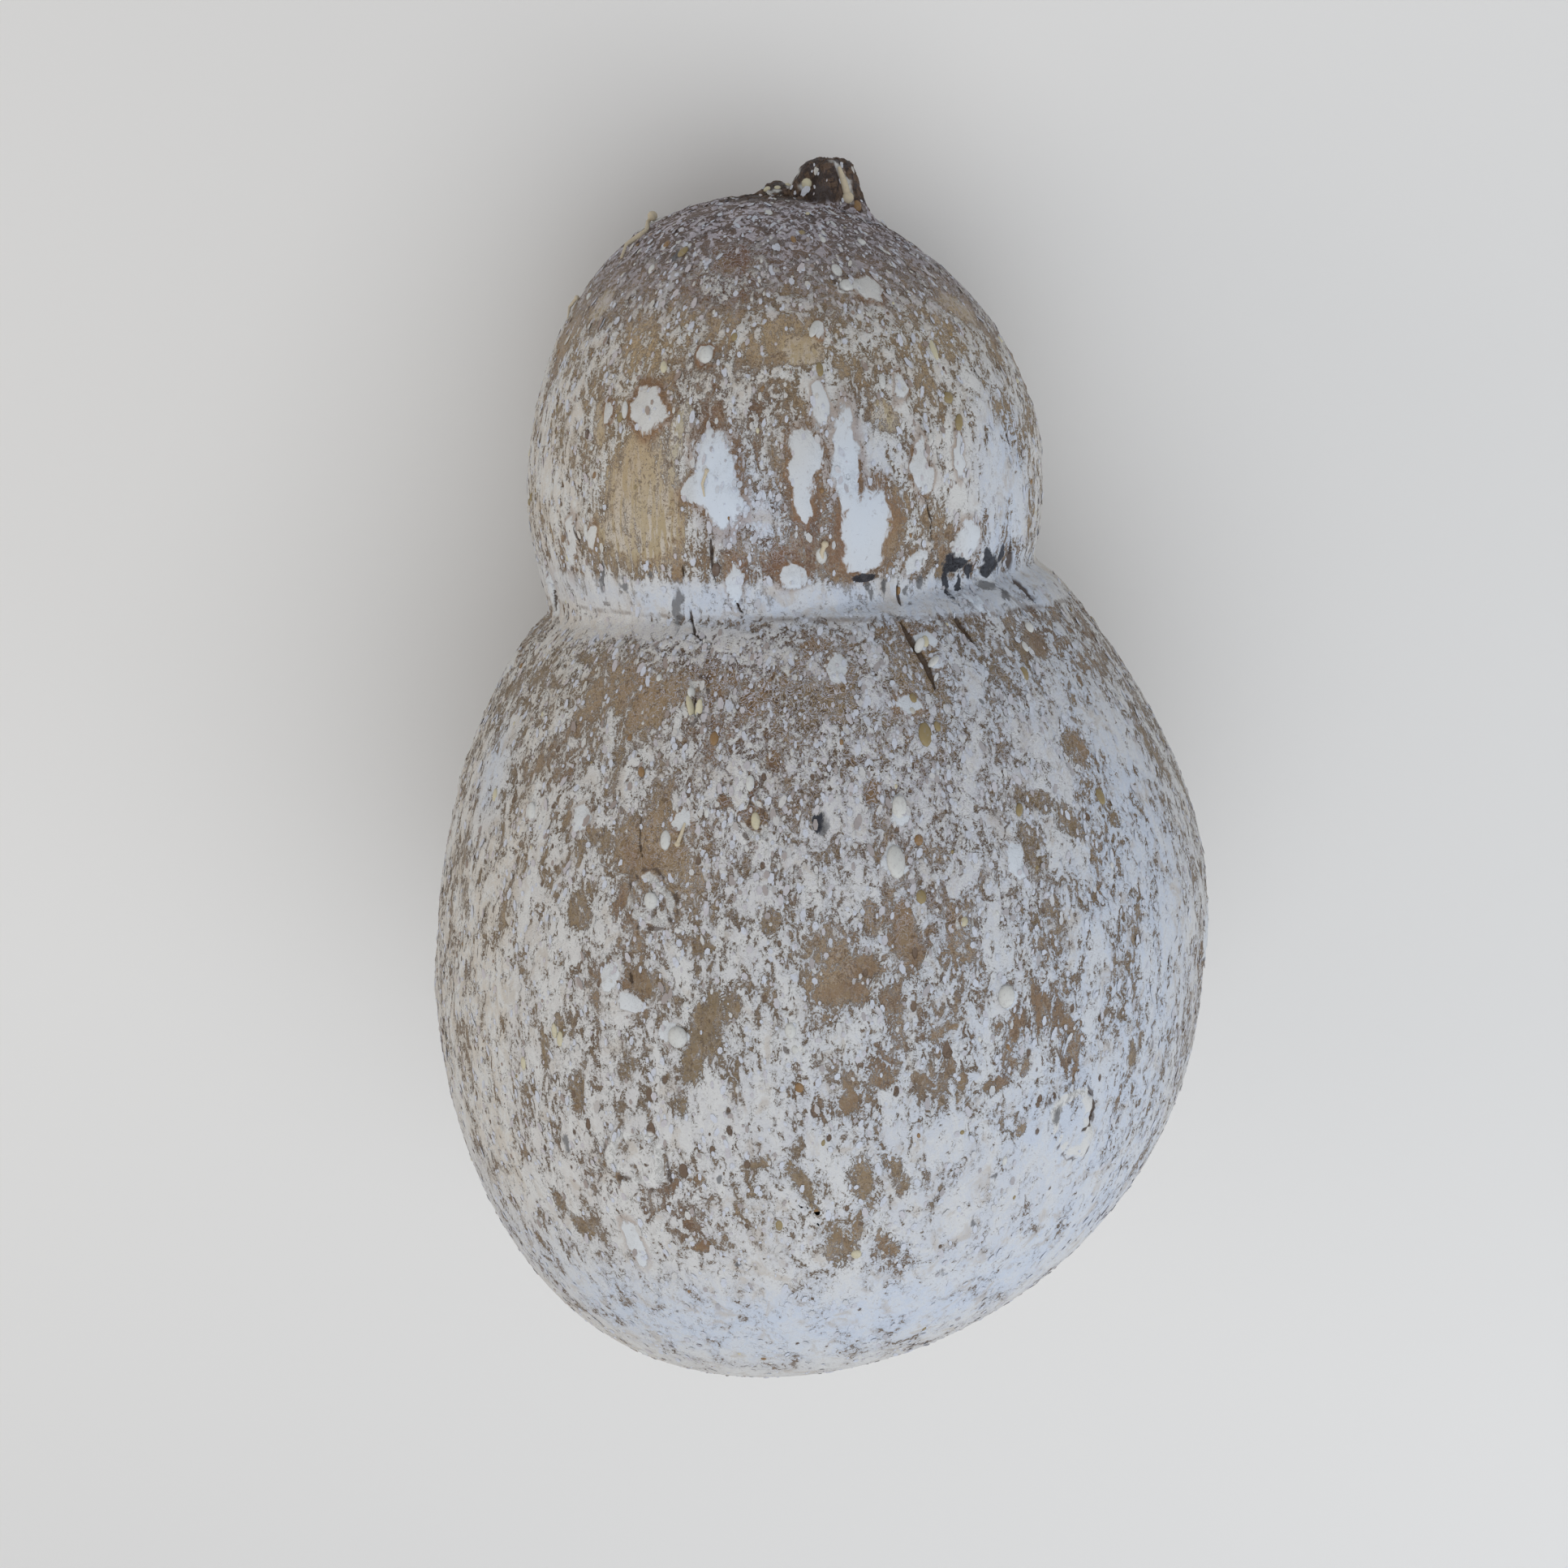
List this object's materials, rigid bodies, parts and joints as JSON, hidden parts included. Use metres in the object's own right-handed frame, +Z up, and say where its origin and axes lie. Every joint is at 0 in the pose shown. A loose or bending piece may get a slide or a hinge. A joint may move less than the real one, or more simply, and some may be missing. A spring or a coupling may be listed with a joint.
{
  "type": "caciocavallo cheese",
  "caption": "Gourd-shaped, cave-aged stretched-curd cheese with a cord groove round its waist and a dried knot at the crown, lying on its side.",
  "frame": {"origin": "bottom centre of the bounding box, on the surface the cheese lies on", "axes": "+Y towards the crown and its knot, +Z up, +X to the right seen from above with the crown away from the viewer"},
  "size_m": [0.12, 0.1828, 0.1159],
  "materials": {
    "rind": "dry matt rind: brown skin under grey-white bloom, with honey-coloured bare patches"
  },
  "bodies": {
    "root": {"cheese": "rind"}
  },
  "joints": []
}
